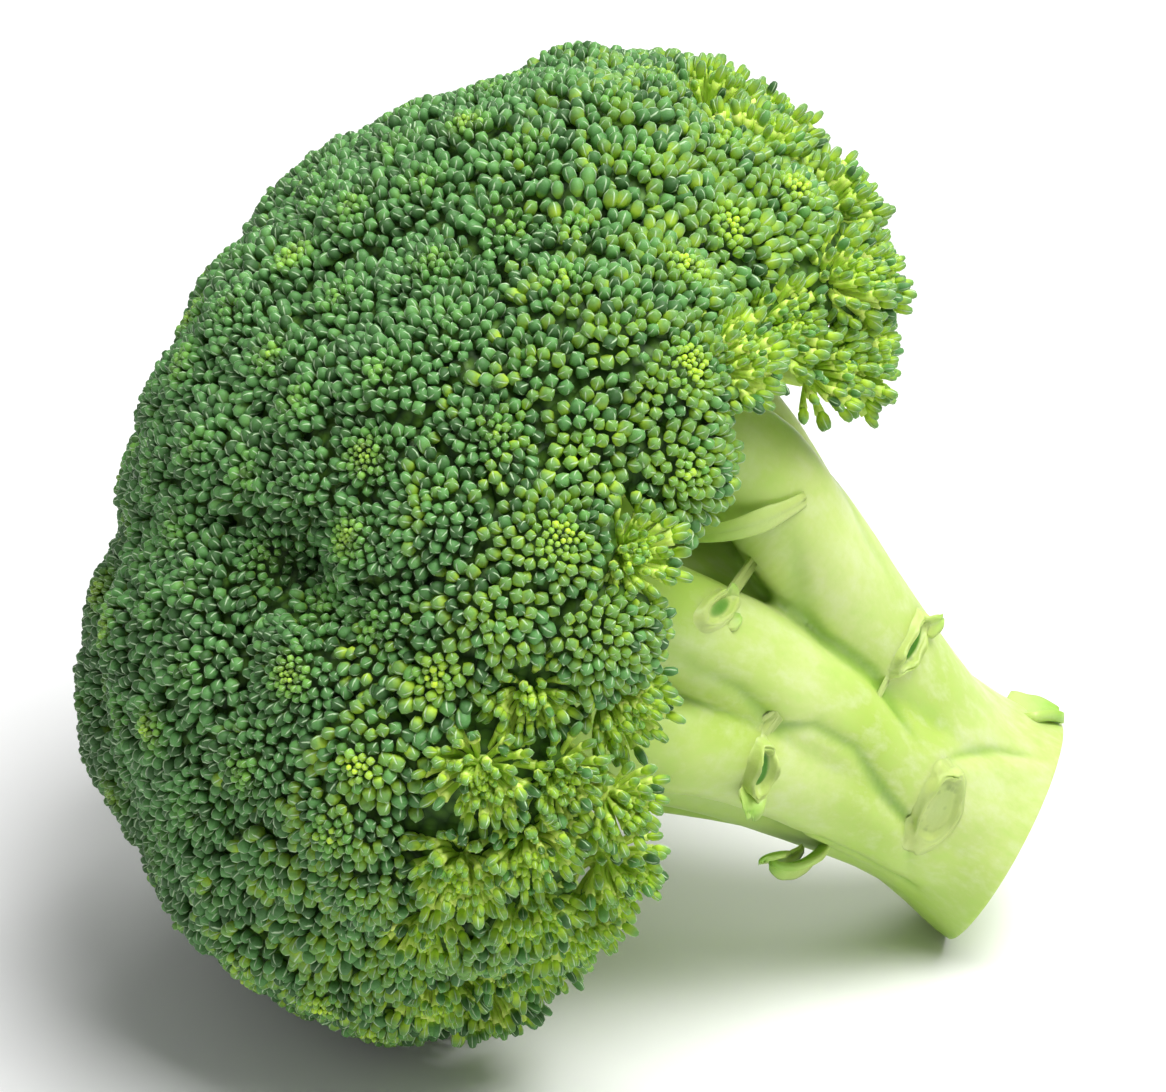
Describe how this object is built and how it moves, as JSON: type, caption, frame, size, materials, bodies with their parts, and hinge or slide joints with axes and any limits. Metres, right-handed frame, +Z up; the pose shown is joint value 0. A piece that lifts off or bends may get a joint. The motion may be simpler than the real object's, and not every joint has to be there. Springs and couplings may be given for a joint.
{
  "type": "broccoli head",
  "caption": "Head of broccoli cut from its plant, lying on its side: a domed crown of green bud clusters on a thick pale branching stalk with leaf stubs.",
  "frame": {"origin": "centre of the bounding box at the resting surface, under the crown and stalk", "axes": "+Z up; the dome points to -X and a little up, the cut stalk to +X and down; +Y along the widest way across the crown"},
  "size_m": [0.1554, 0.1574, 0.1488],
  "materials": {
    "buds": "dusty, waxy green flower buds",
    "branch": "smooth moist green branch",
    "stalk": "smooth waxy pale green stalk",
    "leaf": "torn leaf base, fibrous"
  },
  "bodies": {
    "root": {"bract_long": "leaf", "bract_small": "leaf", "branch_hanging": "branch", "branch_rim_01": "branch", "branch_rim_02": "branch", "branch_rim_03": "branch", "branch_rim_04": "branch", "branch_rim_05": "branch", "branch_rim_06": "branch", "branch_rim_07": "branch", "branch_rim_08": "branch", "branch_rim_09": "branch", "branch_rim_10": "branch", "branch_shoulder_01": "branch", "branch_shoulder_02": "branch", "branch_shoulder_03": "branch", "branch_shoulder_04": "branch", "branch_shoulder_05": "branch", "branch_shoulder_06": "branch", "branch_top": "branch", "floret_hanging": "buds", "floret_rim_01": "buds", "floret_rim_02": "buds", "floret_rim_03": "buds", "floret_rim_04": "buds", "floret_rim_05": "buds", "floret_rim_06": "buds", "floret_rim_07": "buds", "floret_rim_08": "buds", "floret_rim_09": "buds", "floret_rim_10": "buds", "floret_shoulder_01": "buds", "floret_shoulder_02": "buds", "floret_shoulder_03": "buds", "floret_shoulder_04": "buds", "floret_shoulder_05": "buds", "floret_shoulder_06": "buds", "floret_top": "buds", "leaf_scar_front": "leaf", "leaf_scar_middle": "leaf", "leaf_stub_butt": "leaf", "leaf_stub_front": "leaf", "leaf_stub_lower": "leaf", "leaf_stub_upper": "leaf", "stalk": "stalk"}
  },
  "joints": []
}
